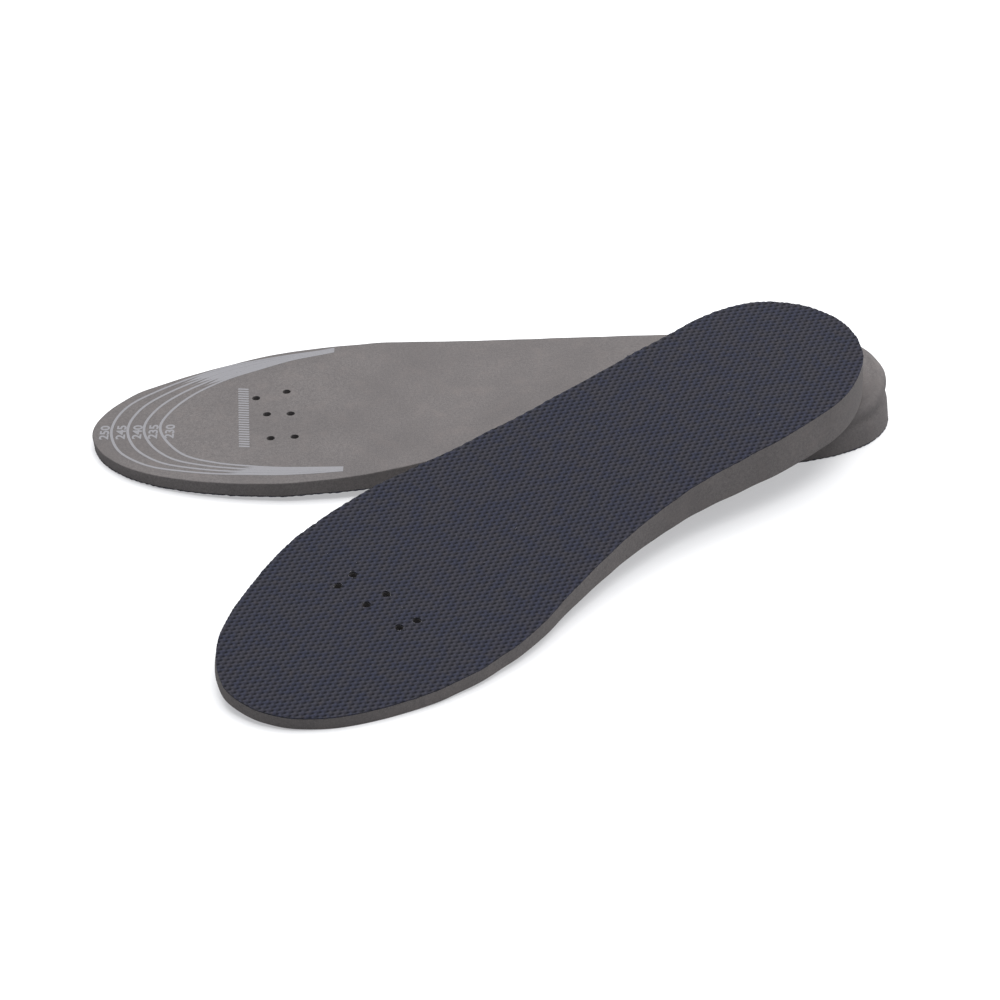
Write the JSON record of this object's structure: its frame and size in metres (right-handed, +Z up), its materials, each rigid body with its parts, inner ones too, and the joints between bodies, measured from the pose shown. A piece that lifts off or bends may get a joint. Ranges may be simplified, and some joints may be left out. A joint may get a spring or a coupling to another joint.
{
  "type": "cushioned insole",
  "caption": "Cushioned shoe insoles with a foam wedge heel and a knitted top cover, the right one lying with its heel across the upturned left one.",
  "frame": {"origin": "middle of the pair's box, on the surface it lies on", "axes": "+X along the lower insole from its toe to its heel, +Y away from the side that the upper toe points to, +Z up"},
  "size_m": [0.2508, 0.2062, 0.0351],
  "materials": {
    "top_cover": "matt dark navy knitted mesh",
    "bond_film": "translucent hot-melt film",
    "foam": "matt mid-grey closed-cell EVA foam"
  },
  "bodies": {
    "lower_rear": {"lower_rear_foam": "foam", "lower_rear_bond_film": "bond_film", "lower_rear_top_cover": "top_cover"},
    "lower_forefoot": {"lower_forefoot_foam": "foam", "lower_forefoot_bond_film": "bond_film", "lower_forefoot_top_cover": "top_cover"},
    "upper_rear": {"upper_rear_foam": "foam", "upper_rear_bond_film": "bond_film", "upper_rear_top_cover": "top_cover"},
    "upper_forefoot": {"upper_forefoot_foam": "foam", "upper_forefoot_bond_film": "bond_film", "upper_forefoot_top_cover": "top_cover"}
  },
  "joints": [
    {"name": "upper_lift", "type": "slide", "parent": "lower_rear", "child": "upper_rear", "axis": [0, 0, 1], "range_m": [0, 0.15]},
    {"name": "upper_toe_flex", "type": "hinge", "parent": "upper_rear", "child": "upper_forefoot", "pos_m": [-0.02204, -0.02691, 0.01439], "axis": [-0.6144, 0.7787, 0.1269], "range_deg": [0, 50], "stiffness_Nm_per_rad": 0.06},
    {"name": "lower_toe_flex", "type": "hinge", "parent": "lower_rear", "child": "lower_forefoot", "pos_m": [-0.04344, 0.0732, 0.0079], "axis": [0, 1, 0], "range_deg": [0, 50], "stiffness_Nm_per_rad": 0.06}
  ]
}
